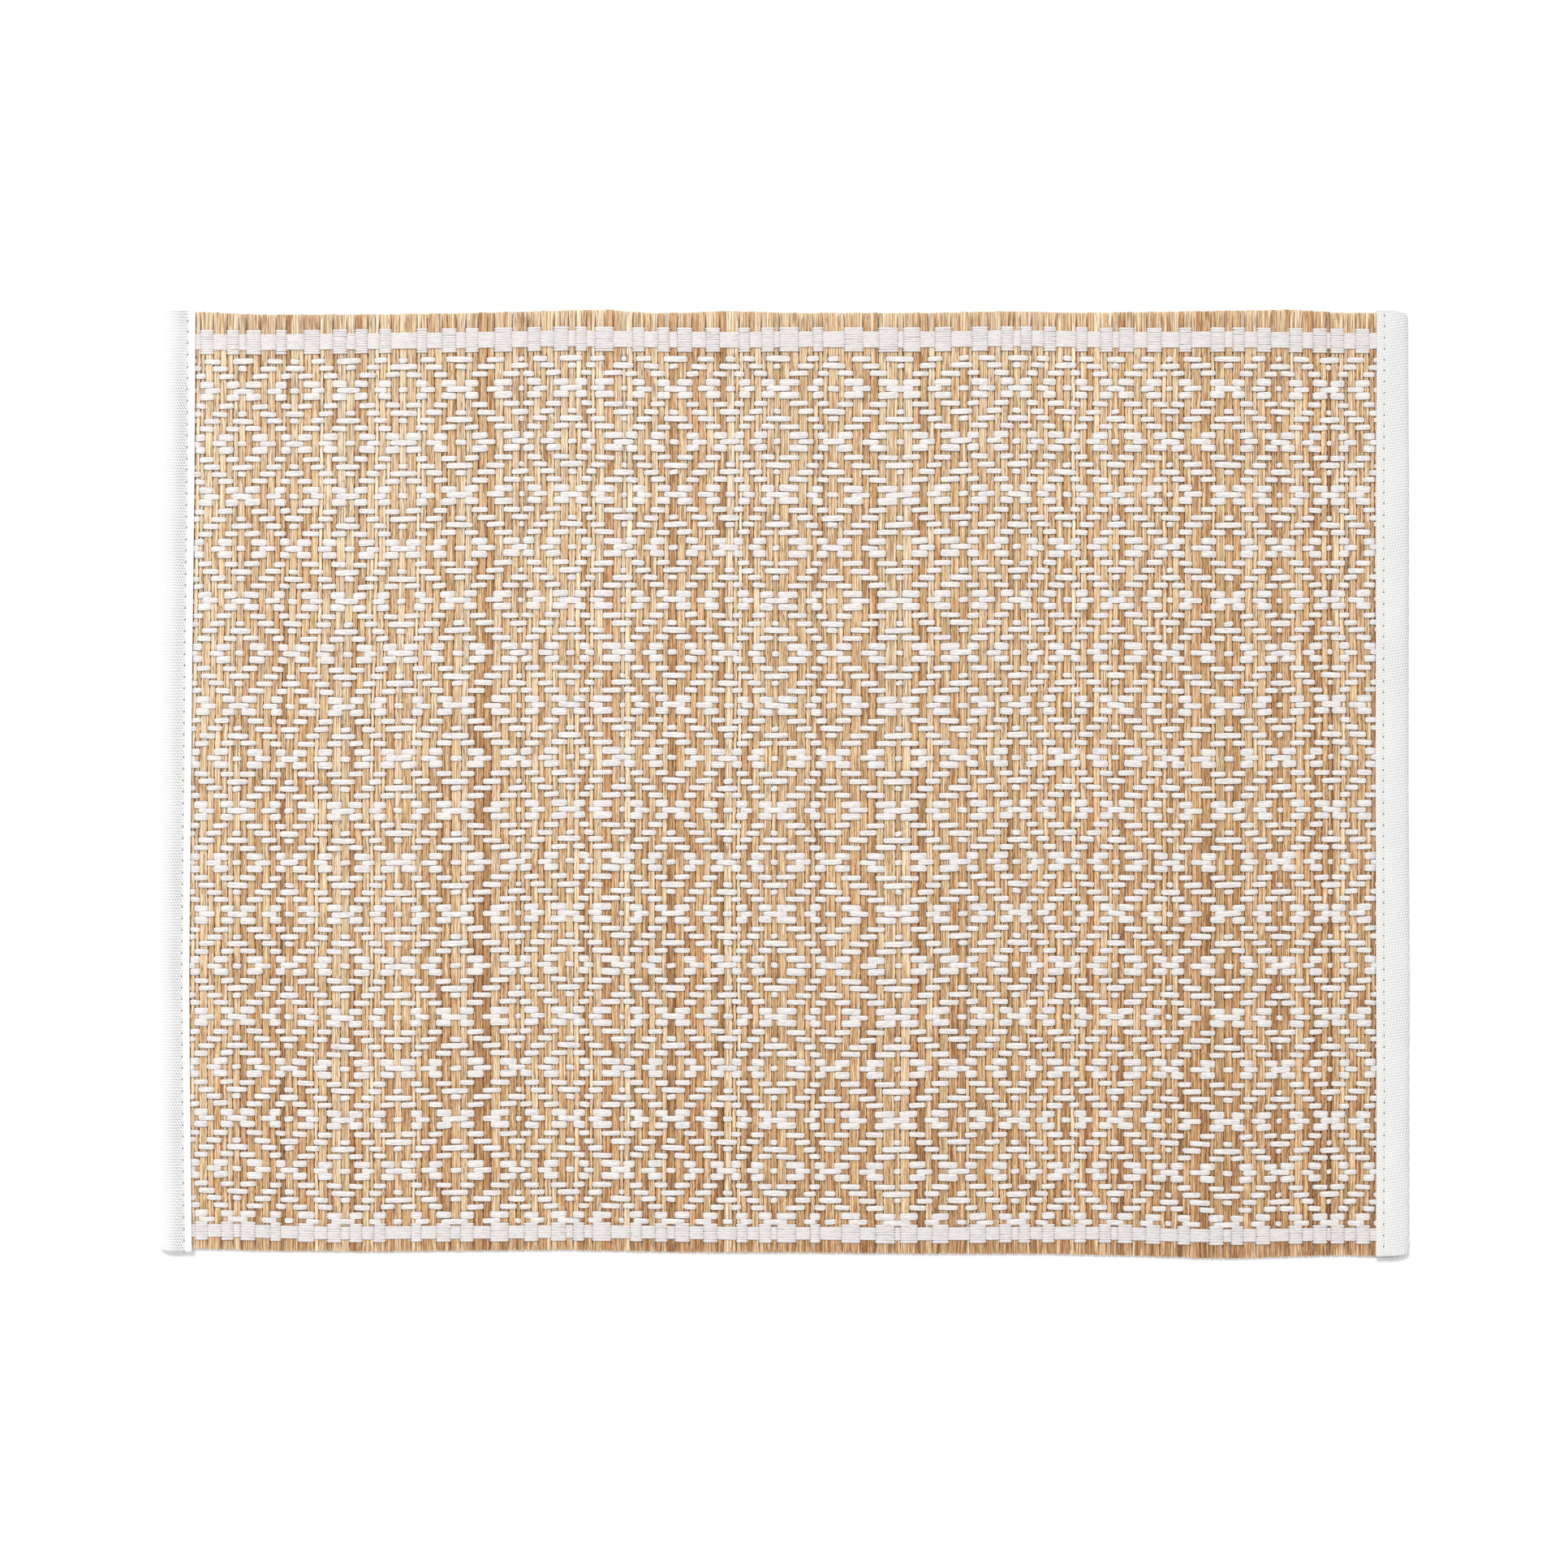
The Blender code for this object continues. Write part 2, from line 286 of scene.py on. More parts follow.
# The floor and the stretch over which the painted light falloff runs, in metres
FLOOR_SIZE = 6.0
FLOOR_DROP = 0.00002          # keeps the floor just clear of the mat's underside
LIGHT_FALLOFF_X = 0.226
LIGHT_FALLOFF_Y = 0.172


def mix(a, b, share):
    return a + (b - a) * share


def ease(value, start, end):
    """0 before start, 1 after end, and a smooth step between."""
    share = np.clip((value - start) / (end - start), 0.0, 1.0)
    return share * share * (3 - 2 * share)


def read(rows, key, place, column):
    """A column's value at each place, on straight lines between the table's rows."""
    rows = sorted(rows, key=lambda row: row[key])
    return np.interp(place, [row[key] for row in rows], [row[column] for row in rows])


def row_shift(x, y):
    """How far a cotton row stands above its straight line."""
    middle = read(ROW_SAG, "x", x, "middle")
    towards_top = (read(ROW_SAG, "x", x, "top") - middle) * ease(y, 20, 160)
    towards_bottom = (read(ROW_SAG, "x", x, "bottom") - middle) * ease(-y, 40, 160)
    ripple = 0.10 * np.sin(x / 13.0 - y / 29.0)
    return middle + towards_top + towards_bottom + ripple


def column_shift(x, y):
    """How far the stems lean and stray sideways: to the right at the top left, to the left on the right."""
    top_left = (0.9 * ease(-x, -110, -10) + 1.15 * ease(-x, 80, 130)) * ease(y, -20, 130)
    top_right = -0.6 * ease(x, 160, 200) * ease(y, 20, 120)
    bottom_right = -0.5 * ease(-y, 50, 140) * ease(x, -20, 60)
    return top_left + top_right + bottom_right + 0.12 * np.sin(y / 17.0 - x / 41.0)


def to_world(points):
    """Turn cloth places in millimetres, z from the cloth's middle, into metres in the frame."""
    x, y, z = points[:, 0], points[:, 1], points[:, 2]
    bound = ease(np.abs(x), LIFT_START_X, LIFT_END_X)
    height = CLOTH_MIDDLE + LIFT * bound + z * mix(1.0, PINCH, bound)
    return np.stack([x + column_shift(x, y), y, height], axis=1) * MM


class Weave:
    """Where each pick of grass lies, and which shafts it raises."""

    def __init__(self):
        draw = random.Random(SEED)
        count = PICKS_PER_HALF * len(HALF_DIAMONDS) + 1
        widths = [1 + draw.uniform(-PICK_VARIATION, PICK_VARIATION) for _ in range(count)]
        centre = FIRST_POINT_X
        edges = []
        for half, span in enumerate(HALF_DIAMONDS):
            picks = widths[half * PICKS_PER_HALF:(half + 1) * PICKS_PER_HALF + 1]
            steps = [(a + b) / 2 for a, b in zip(picks, picks[1:])]
            scale = span / sum(steps)
            if half == 0:
                edges.append(centre - scale * picks[0] / 2)
            for pick, step in zip(picks, steps):
                edges.append(centre + scale * pick / 2)
                centre += scale * step
        edges.append(centre + scale * widths[-1] / 2)
        before = [edges[0] - HIDDEN_PICK_WIDTH * step for step in range(HIDDEN_PICKS, 0, -1)]
        after = [edges[-1] + HIDDEN_PICK_WIDTH * step for step in range(1, HIDDEN_PICKS + 1)]
        self.edges = before + edges + after
        self.count = len(self.edges) - 1

    def raised(self, shaft, pick):
        """Whether a shaft's yarn lies over this pick."""
        return shaft in TREADLING[(pick - HIDDEN_PICKS + FIRST_TREADLE) % len(TREADLING)]

    def runs(self, shaft):
        """Stretches of picks that the shaft's yarn passes on one side: first pick, last pick and +1 or -1."""
        found = []
        start = 0
        for pick in range(1, self.count + 1):
            if pick == self.count or self.raised(shaft, pick) != self.raised(shaft, start):
                found.append((start, pick - 1, 1 if self.raised(shaft, start) else -1))
                start = pick
        return found


def field_rows():
    """The cotton rows of the field from the top, each with its height on the mat, shaft and strands."""
    order = THREADING[-LEADING_ROWS:] + THREADING * WHOLE_REPEATS
    rows = []
    y = FIRST_ROW_Y
    for number, entry in enumerate(order):
        rows.append({"y": y, "shaft": entry["shaft"], "strands": entry["strands"]})
        y -= entry["step"] * read(STRETCH, "share", number / len(order), "factor")
    return rows


def cotton_lines(rows):
    """Every height at which cotton holds the stems, from the bottom up: the borders' and the field's rows."""
    lines = [{"y": row["y"], "shaft": row["shaft"]} for row in rows]
    for border in BORDERS:
        for share in (-0.5, 0.0, 0.5):
            lines.append({"y": border["middle"] + share * border["tall"], "shaft": "1"})
    return sorted(lines, key=lambda line: line["y"])


class Bundle:
    """Many closed tubes joined into one mesh, with numbers for the materials on its points and faces."""

    def __init__(self):
        self.points = []
        self.quads = []
        self.caps = []
        self.values = {}
        self.face_values = {}
        self.count = 0

    def add(self, rings, values=None, face_values=None):
        """Add one tube: rings is stations by points by 3, in metres; values hold one number a point."""
        stations, around, _ = rings.shape
        self.points.append(rings.reshape(-1, 3))
        first = self.count + np.arange(stations - 1)[:, None] * around
        place = np.arange(around)[None, :]
        after = (place + 1) % around
        next_ring = first + around
        quads = np.stack([first + place, first + after, next_ring + after, next_ring + place], axis=2)
        self.quads.append(quads.reshape(-1, 4))
        self.caps.append((self.count + np.arange(around))[::-1])
        self.caps.append(self.count + (stations - 1) * around + np.arange(around))
        for name, value in (values or {}).items():
            self.values.setdefault(name, []).append(value.reshape(-1))
        for name, value in (face_values or {}).items():
            entry = self.face_values.setdefault(name, {"quads": [], "caps": []})
            entry["quads"].append(np.tile(value, stations - 1))
            entry["caps"] += [value.mean(), value.mean()]
        self.count += stations * around

    def build(self, name, material, sharp=None):
        mesh = bpy.data.meshes.new(name)
        quads = np.concatenate(self.quads)
        faces = quads.tolist() + [cap.tolist() for cap in self.caps]
        mesh.from_pydata(np.concatenate(self.points).tolist(), [], faces)
        smooth = np.ones(len(faces), dtype=bool)
        smooth[len(quads):] = False
        mesh.polygons.foreach_set("use_smooth", smooth)
        for key, value in self.values.items():
            layer = mesh.attributes.new(key, "FLOAT", "POINT")
            layer.data.foreach_set("value", np.concatenate(value).astype(np.float32))
        for key, value in self.face_values.items():
            layer = mesh.attributes.new(key, "FLOAT", "FACE")
            numbers = np.concatenate(value["quads"] + [np.array(value["caps"])])
            layer.data.foreach_set("value", numbers.astype(np.float32))
        if sharp is not None:
            mesh.set_sharp_from_angle(angle=math.radians(sharp))
        mesh.materials.append(material)
        mesh.update()
        thing = bpy.data.objects.new(name, mesh)
        bpy.context.scene.collection.objects.link(thing)
        return thing


class Nodes:
    """Short calls that build one material's nodes."""

    def __init__(self, name):
        self.material = bpy.data.materials.new(name)
        self.material.use_nodes = True
        self.tree = self.material.node_tree
        self.shader = self.tree.nodes["Principled BSDF"]

    def put(self, socket, value):
        if isinstance(value, bpy.types.NodeSocket):
            self.tree.links.new(value, socket)
        else:
            socket.default_value = value

    def attribute(self, name):
        node = self.tree.nodes.new("ShaderNodeAttribute")
        node.attribute_name = name
        return node.outputs["Fac"]

    def place(self, stretch=(1.0, 1.0, 1.0)):
        """Object coordinates, stretched along each axis."""
        coordinates = self.tree.nodes.new("ShaderNodeTexCoord")
        mapping = self.tree.nodes.new("ShaderNodeMapping")
        mapping.inputs["Scale"].default_value = stretch
        self.tree.links.new(coordinates.outputs["Object"], mapping.inputs["Vector"])
        return mapping.outputs["Vector"]

    def axis(self, vector, name):
        node = self.tree.nodes.new("ShaderNodeSeparateXYZ")
        self.put(node.inputs[0], vector)
        return node.outputs[name]

    def joined(self, x, y, z):
        node = self.tree.nodes.new("ShaderNodeCombineXYZ")
        for socket, value in zip(node.inputs, (x, y, z)):
            self.put(socket, value)
        return node.outputs[0]

    def noise(self, stretch, detail=2.0, roughness=0.5):
        """Noise with about this many features a metre along each axis."""
        node = self.tree.nodes.new("ShaderNodeTexNoise")
        self.put(node.inputs["Vector"], self.place(stretch))
        node.inputs["Scale"].default_value = 1.0
        node.inputs["Detail"].default_value = detail
        node.inputs["Roughness"].default_value = roughness
        return node.outputs["Fac"]

    def math(self, operation, a, b=0.0, clamp=False):
        node = self.tree.nodes.new("ShaderNodeMath")
        node.operation = operation
        node.use_clamp = clamp
        for socket, value in zip(node.inputs, (a, b)):
            self.put(socket, value)
        return node.outputs[0]

    def wave(self, turns, kind="COSINE"):
        """A wave that comes back to its start at each whole turn."""
        return self.math(kind, self.math("MULTIPLY", turns, 2 * math.pi))

    def spread(self, value, low, high, to_low=0.0, to_high=1.0):
        """Map low..high to to_low..to_high, clamped."""
        node = self.tree.nodes.new("ShaderNodeMapRange")
        for name, number in (("Value", value), ("From Min", low), ("From Max", high)):
            self.put(node.inputs[name], number)
        self.put(node.inputs["To Min"], to_low)
        self.put(node.inputs["To Max"], to_high)
        return node.outputs["Result"]

    def ramp(self, value, stops):
        """A colour ramp through (place, colour) stops."""
        node = self.tree.nodes.new("ShaderNodeValToRGB")
        elements = node.color_ramp.elements
        while len(elements) < len(stops):
            elements.new(0.5)
        for element, (place, color) in zip(elements, stops):
            element.position = place
            element.color = (*color, 1.0)
        self.put(node.inputs[0], value)
        return node.outputs["Color"]

    def blend(self, a, b, share, kind="MIX"):
        node = self.tree.nodes.new("ShaderNodeMix")
        node.data_type = "RGBA"
        node.blend_type = kind
        self.put(node.inputs["Factor"], share)
        self.put(node.inputs["A"], a if isinstance(a, bpy.types.NodeSocket) else (*a, 1.0))
        self.put(node.inputs["B"], b if isinstance(b, bpy.types.NodeSocket) else (*b, 1.0))
        return node.outputs["Result"]

    def painted_falloff(self, color, right, bottom):
        """A colour with painted light falloff: it darkens a little towards the mat's right end and towards
        its bottom edge.
        """
        along_x = self.spread(self.axis(self.place(), "X"), -LIGHT_FALLOFF_X, LIGHT_FALLOFF_X, 1.0, right)
        along_y = self.spread(self.axis(self.place(), "Y"), LIGHT_FALLOFF_Y, -LIGHT_FALLOFF_Y, 1.0, bottom)
        share = self.math("MULTIPLY", along_x, along_y)
        return self.blend(color, self.joined(share, share, share), 1.0, "MULTIPLY")

    def bump(self, height, distance, strength=1.0):
        node = self.tree.nodes.new("ShaderNodeBump")
        node.inputs["Strength"].default_value = strength
        node.inputs["Distance"].default_value = distance
        self.put(node.inputs["Height"], height)
        self.put(self.shader.inputs["Normal"], node.outputs["Normal"])

    def surface(self, color, roughness, **numbers):
        self.put(self.shader.inputs["Base Color"], color)
        self.put(self.shader.inputs["Roughness"], roughness)
        for name, value in numbers.items():
            self.shader.inputs[name.replace("_", " ")].default_value = value
        return self.material


def grass_material():
    """Dried grass: straw to orange-brown stems, with fine lengthwise fibres, blotches and painted shade in
    the grooves between the stems.
    """
    n = Nodes("dried grass")
    tone = n.attribute("tone")
    crest = n.attribute("crest")
    hue = n.attribute("hue")
    fibres = n.noise((1900.0, 80.0, 1900.0), 4.0, 0.75)
    grain = n.noise((2600.0, 800.0, 2600.0), 3.0, 0.6)
    drift = n.noise((420.0, 30.0, 420.0), 2.0)
    blotch = n.noise((500.0, 120.0, 500.0), 3.0)
    # Lighter towards the top: partly the grass's own colour, which browns towards the bottom, and partly
    # painted light falloff. Darker towards the right end: painted light falloff.
    browning_and_falloff_up = n.spread(n.axis(n.place(), "Y"), -0.170, 0.170, -0.14, 0.14)
    falloff_along = n.spread(n.axis(n.place(), "X"), -0.20, 0.220, 0.03, -0.10)
    shade = n.math("ADD", tone, browning_and_falloff_up)
    shade = n.math("ADD", shade, falloff_along)
    shade = n.math("ADD", shade, n.spread(fibres, 0.33, 0.67, -0.46, 0.40))
    shade = n.math("ADD", shade, n.spread(grain, 0.3, 0.7, -0.10, 0.10))
    shade = n.math("ADD", shade, n.spread(drift, 0.3, 0.7, -0.10, 0.10), clamp=True)
    straw = n.ramp(shade, [
        (0.00, (0.210, 0.095, 0.038)),
        (0.22, (0.440, 0.225, 0.098)),
        (0.42, (0.650, 0.390, 0.190)),
        (0.62, (0.810, 0.560, 0.315)),
        (0.82, (0.900, 0.705, 0.470)),
        (1.00, (0.940, 0.820, 0.630)),
    ])
    pale = n.ramp(shade, [
        (0.00, (0.240, 0.130, 0.060)),
        (0.35, (0.600, 0.410, 0.215)),
        (0.70, (0.830, 0.655, 0.410)),
        (1.00, (0.930, 0.830, 0.630)),
    ])
    rust = n.ramp(shade, [
        (0.00, (0.170, 0.060, 0.022)),
        (0.35, (0.520, 0.235, 0.090)),
        (0.70, (0.790, 0.485, 0.245)),
        (1.00, (0.870, 0.690, 0.480)),
    ])
    color = n.blend(straw, pale, n.spread(hue, 0.25, 0.85))
    color = n.blend(color, rust, n.spread(hue, -0.35, -0.95))
    # thin dark brown lines along the stems
    thin_dark_lines = n.math("ABSOLUTE", n.math("SUBTRACT", n.noise((1100.0, 42.0, 1100.0), 2.0), 0.5))
    color = n.blend(color, (0.300, 0.140, 0.055), n.spread(thin_dark_lines, 0.050, 0.010, 0.0, 0.75))
    # painted shade in the grooves between the stems and at the picks' sides, where the crest value is low
    painted_groove_shade = n.spread(crest, 0.12, 0.50, 0.65, 0.0)
    color = n.blend(color, (0.250, 0.120, 0.050), painted_groove_shade)
    spots = n.spread(blotch, 0.62, 0.72, 0.0, 0.35)
    color = n.blend(color, (0.360, 0.180, 0.080), spots)
    height = n.math("ADD", fibres, n.math("MULTIPLY", grain, 0.5))
    n.bump(height, 0.00014, 0.8)
    roughness = n.spread(fibres, 0.3, 0.7, 0.62, 0.45)
    # painted light falloff: a little darker towards the mat's right end
    color = n.painted_falloff(color, 0.97, 1.0)
    return n.surface(color, roughness, IOR=1.42, Specular_IOR_Level=0.4)


def toned(color, factors):
    return tuple(value * factor for value, factor in zip(color, factors))


def yarn_material(name, color):
    """Soft white cotton yarn, with lengthwise streaks, partings between its strands and a matt fuzz, and
    painted shade along the streaks, in the twist and in the partings.
    """
    n = Nodes(name)
    streaks = n.noise((420.0, 2100.0, 2100.0), 3.0, 0.6)
    fuzz = n.noise((5200.0, 5200.0, 5200.0), 3.0, 0.7)
    turn = n.math("DIVIDE", n.attribute("along"), 0.8)
    turn = n.math("ADD", turn, n.math("MULTIPLY", n.attribute("parting"), 0.9))
    turn = n.math("ADD", turn, n.math("MULTIPLY", streaks, 1.5))
    twist = n.wave(turn, "SINE")
    parting = n.wave(n.attribute("parting"))
    parting = n.math("MULTIPLY", n.spread(parting, 0.75, 1.0), n.spread(streaks, 0.35, 0.6, 0.2, 1.0))
    # painted shade along the streaks, in the twist's grooves and in the partings between the strands
    lines = n.math("ADD", n.spread(streaks, 0.54, 0.40, 0.0, 0.95), n.spread(twist, -0.5, -1.0, 0.0, 0.12))
    lines = n.math("ADD", lines, n.math("MULTIPLY", parting, 0.55), clamp=True)
    tint = n.blend(color, toned(color, YARN_SHADED), lines)
    stain = n.spread(n.noise((70.0, 70.0, 70.0), 3.0), 0.35, 0.75, 0.0, 0.22)
    tint = n.blend(tint, toned(color, YARN_STAINED), stain)
    height = n.math("ADD", n.math("MULTIPLY", twist, 0.15), n.math("MULTIPLY", fuzz, 0.6))
    height = n.math("ADD", height, n.math("MULTIPLY", streaks, 2.0))
    n.bump(n.math("SUBTRACT", height, n.math("MULTIPLY", parting, 0.8)), 0.00016, 0.8)
    # painted light falloff: darker towards the mat's right end and bottom edge
    tint = n.painted_falloff(tint, 0.93, 0.94)
    return n.surface(tint, 0.88, Sheen_Weight=0.15, Sheen_Roughness=0.5, Specular_IOR_Level=0.25)


def tape_material():
    """White cotton tape in plain weave: slanting rows of raised dots with painted shade in the hollows
    between them, needle holes painted dark with shade, and painted shade along a frayed cut end.
    """
    n = Nodes("cotton tape")
    wobble = n.spread(n.noise((260.0, 260.0, 260.0), 2.0), 0.3, 0.7, -0.12, 0.12)
    wide = n.wave(n.math("ADD", n.attribute("dots_across"), wobble))
    tall = n.wave(n.math("ADD", n.attribute("dots_along"), wobble))
    dots = n.math("MULTIPLY", n.math("ADD", wide, tall), 0.5)
    fuzz = n.noise((3800.0, 3800.0, 3800.0), 3.0, 0.7)
    patch = n.noise((110.0, 45.0, 110.0), 2.0)
    hollow_shade_and_depth = n.math("MULTIPLY", n.attribute("hollow_shade_and_depth"), n.spread(patch, 0.3, 0.7, 0.75, 1.15))
    # painted shade in the hollows between the weave's raised dots
    painted_hollow_shade = n.math("MULTIPLY", n.spread(dots, 0.40, -0.45), hollow_shade_and_depth)
    color = n.blend((0.850, 0.850, 0.842), (0.450, 0.455, 0.465), painted_hollow_shade)
    stitch = n.wave(n.attribute("stitch"))
    beside = n.math("ABSOLUTE", n.attribute("seam"))
    # the needle holes, painted dark with the shade inside them
    hole = n.math("MULTIPLY", n.spread(stitch, 0.80, 0.93), n.spread(beside, 0.32, 0.15))
    color = n.blend(color, (0.060, 0.058, 0.062), n.math("MULTIPLY", hole, 0.85))
    # painted shade among the frayed threads of a cut end
    threads = n.noise((1800.0, 600.0, 1800.0), 2.0)
    cut_end_shade = n.math("MULTIPLY", n.attribute("cut_end_shade"), n.spread(threads, 0.35, 0.6, 0.55, 1.0))
    color = n.blend(color, (0.085, 0.080, 0.078), cut_end_shade)
    height = n.math("ADD", n.math("MULTIPLY", dots, n.attribute("hollow_shade_and_depth")), n.math("MULTIPLY", fuzz, 0.5))
    n.bump(height, 0.00016, 0.7)
    # painted light falloff: darker towards the mat's right end
    color = n.painted_falloff(color, 0.93, 1.0)
    return n.surface(color, 0.9, Sheen_Weight=0.12, Sheen_Roughness=0.5, Specular_IOR_Level=0.2)


def stems_section(shares, heights):
    """A pick's sections, one a station: rounded stems side by side on a flat underside.

    Gives the places across from 0 to 1, the heights from -1 to 1, the crest value of each point, and the
    stem that each face between two points belongs to.
    """
    stations, stems = shares.shape
    bounds = np.cumsum(shares, axis=1) / shares.sum(axis=1, keepdims=True)
    bounds = np.concatenate([np.zeros((stations, 1)), bounds], axis=1)
    steps = ((0.15, 0.84), (0.50, 1.00), (0.85, 0.84)) if stems == 1 else ((0.50, 1.00),)
    # The third value of each point is its crest: low at the pick's sides and in the grooves, where the grass
    # material paints shade
    points = [(bounds[:, 0], np.full(stations, PICK_EDGE), 0.1)]
    owners = []
    for stem in range(stems):
        left, right = bounds[:, stem], bounds[:, stem + 1]
        for place, rise in steps:
            points.append((mix(left, right, place), rise * heights[:, stem], rise))
        if stem < stems - 1:
            points.append((right, GROOVE * np.minimum(heights[:, stem], heights[:, stem + 1]), 0.2))
        owners += [stem] * (len(steps) + 1)
    points.append((bounds[:, -1], np.full(stations, PICK_EDGE), 0.1))
    points.append((np.full(stations, 0.82), np.full(stations, -0.85), 0.8))
    points.append((np.full(stations, 0.18), np.full(stations, -0.85), 0.8))
    owners += [stems - 1, stems // 2, 0]
    across, height, crest = zip(*points)
    return np.stack(across, axis=1), np.stack(height, axis=1), np.array(crest), owners


def wander(places, draw, scale, amount):
    """A slow random curve along a stem, as one value for each place."""
    turn = [draw.uniform(0, 2 * math.pi) for _ in range(3)]
    length = [scale * draw.uniform(0.7, 1.4) for _ in range(3)]
    waves = [np.sin(places / length[k] + turn[k]) for k in range(3)]
    return amount * (waves[0] + 0.6 * waves[1] + 0.4 * waves[2]) / 1.4


def pick_looks(draw, width):
    """One pick's stems: how many, how wide and high each is, and their tones."""
    blade = draw.random() < BLADE_SHARE
    if blade and width < BLADE_WIDTH:
        stems = 1
    else:
        stems = round(width / STEM_WIDTH + draw.uniform(-0.6, 0.5))
        stems = max(1, min(MOST_STEMS, stems))
    tone = draw.triangular(0.42, 0.96, 0.76)
    return {
        "shares": [draw.uniform(0.65, 1.35) for _ in range(stems)],
        "heights": [draw.uniform(0.84, 1.04) for _ in range(stems)],
        "tones": [tone + draw.uniform(-0.17, 0.17) for _ in range(stems)],
        "hue": draw.triangular(-1.0, 1.0, 0.0),
    }


def build_grass(weave, lines, material):
    """All the picks, in a left and a right piece, as stems that the yarn pushes apart and draws in."""
    draw = random.Random(SEED + 7)
    slits = np.zeros((weave.count + 1, len(lines)))
    for number, line in enumerate(lines):
        for edge in range(weave.count + 1):
            passes = 0 < edge < weave.count
            passes = passes and weave.raised(line["shaft"], edge - 1) != weave.raised(line["shaft"], edge)
            slits[edge, number] = draw.uniform(0.6, 1.3) * (SLIT_OPEN if passes else SLIT_CLOSED)
    heights_y = np.array([line["y"] for line in lines])
    stray = np.array([wander(heights_y, draw, 11.0, 0.09) for _ in range(weave.count + 1)])
    pieces = []
    for name, picks in (("left", range(weave.count // 2)), ("right", range(weave.count // 2, weave.count))):
        bundle = Bundle()
        for pick in picks:
            add_pick(bundle, weave, lines, pick, slits, stray, draw)
        pieces.append(bundle.build(f"grass_stems_{name}", material, sharp=GRASS_SHARP))
    return pieces


def add_pick(bundle, weave, lines, pick, slits, stray, draw):
    left, right = weave.edges[pick], weave.edges[pick + 1]
    middle = (left + right) / 2
    looks = pick_looks(draw, right - left)
    top = read(GRASS_OUTLINE, "x", middle, "top") + draw.uniform(-0.22, 0.06)
    bottom = read(GRASS_OUTLINE, "x", middle, "bottom") + draw.uniform(-0.05, 0.14)
    held = np.array([line["y"] for line in lines])
    held = held + row_shift(np.full(len(held), middle), held)
    ys = np.concatenate([[bottom, bottom + CUT_LENGTH], held, [top - CUT_LENGTH, top]])
    ends = np.zeros(len(ys), dtype=bool)
    ends[[0, -1]] = True

    def spread_ends(values, end_value):
        return np.concatenate([[end_value] * 2, values, [end_value] * 2])

    lefts = left + spread_ends(stray[pick] + slits[pick], draw.uniform(-0.05, 0.12))
    rights = right + spread_ends(stray[pick + 1] - slits[pick + 1], draw.uniform(-0.12, 0.05))
    over = np.array([weave.raised(line["shaft"], pick) for line in lines])
    pressed = spread_ends(np.where(over, 0.95, 1.0), 0.92)
    lift = spread_ends(np.where(over, -0.05, 0.07), 0.0)
    shares = np.stack([
        np.maximum(0.3, share + wander(ys, draw, 24.0, 0.2) + wander(ys, draw, 5.0, 0.12))
        for share in looks["shares"]
    ], axis=1)
    heights = np.stack([
        (height + wander(ys, draw, 30.0, 0.05)) * pressed * np.where(ends, 0.84, 1.0)
        for height in looks["heights"]
    ], axis=1)
    across, height, crest, owners = stems_section(shares, heights)
    inset = np.where(ends, 0.05, 0.0)[:, None]
    x = lefts[:, None] + (rights - lefts)[:, None] * (inset + across * (1 - 2 * inset))
    z = height * GRASS_HALF + lift[:, None]
    points = np.stack([x, np.broadcast_to(ys[:, None], x.shape), z], axis=2)
    rings = to_world(points.reshape(-1, 3)).reshape(points.shape)
    tones = np.array(looks["tones"])[owners]
    hues = np.full(len(owners), looks["hue"])
    bundle.add(rings, {"crest": np.broadcast_to(crest, x.shape)}, {"tone": tones, "hue": hues})


def float_profile():
    """The section of a flattened yarn as points from -1 to 1 across and up, over its top to its underside."""
    return np.array([(1.0, -0.15), (0.78, 0.74), (0.0, 0.95), (-0.78, 0.74), (-1.0, -0.15), (0.0, -0.9)])


def strand_profile():
    """The section of one strand of a border, flattened by its neighbours."""
    return np.array([(1.0, 0.1), (0.70, 0.80), (-0.70, 0.80), (-1.0, 0.1), (0.0, -0.9)])


def round_profile(sides):
    turns = np.arange(sides) * 2 * math.pi / sides + math.pi / 2
    return np.stack([np.cos(turns), np.sin(turns)], axis=1)


def yarn_stations(weave, shaft, y, half_width, draw, swell=1.12, stray=0.17, rise=YARN_RISE, taper=0.82):
    """The stations of one yarn across the mat: x, y, height from the middle and half width."""
    stations = []
    for first, last, side in weave.runs(shaft):
        start, end = weave.edges[first], weave.edges[last + 1]
        offset = draw.uniform(-stray, stray)
        tilt = draw.uniform(-stray, stray) * 0.8
        width = half_width * draw.uniform(0.92, 1.05)
        if side < 0:
            inset = min(DIVE_INSET, 0.3 * (end - start))
            stations.append((start + inset, y + offset, -YARN_RISE, width))
            stations.append((end - inset, y + offset, -YARN_RISE, width))
            continue
        inset = min(FLOAT_INSET, 0.3 * (end - start))
        start_y, end_y = y + offset - tilt, y + offset + tilt
        low = rise - FLOAT_DIP
        stations.append((start + FLOAT_EDGE, start_y, low, width * taper * draw.uniform(0.9, 1.1)))
        stations.append((start + inset, start_y, rise, width))
        if last - first > 1:
            stations.append(((start + end) / 2, y + offset, rise + FLOAT_CROWN, width * swell))
        stations.append((end - inset, end_y, rise, width))
        stations.append((end - FLOAT_EDGE, end_y, low, width * taper * draw.uniform(0.9, 1.1)))
    return np.array(stations)


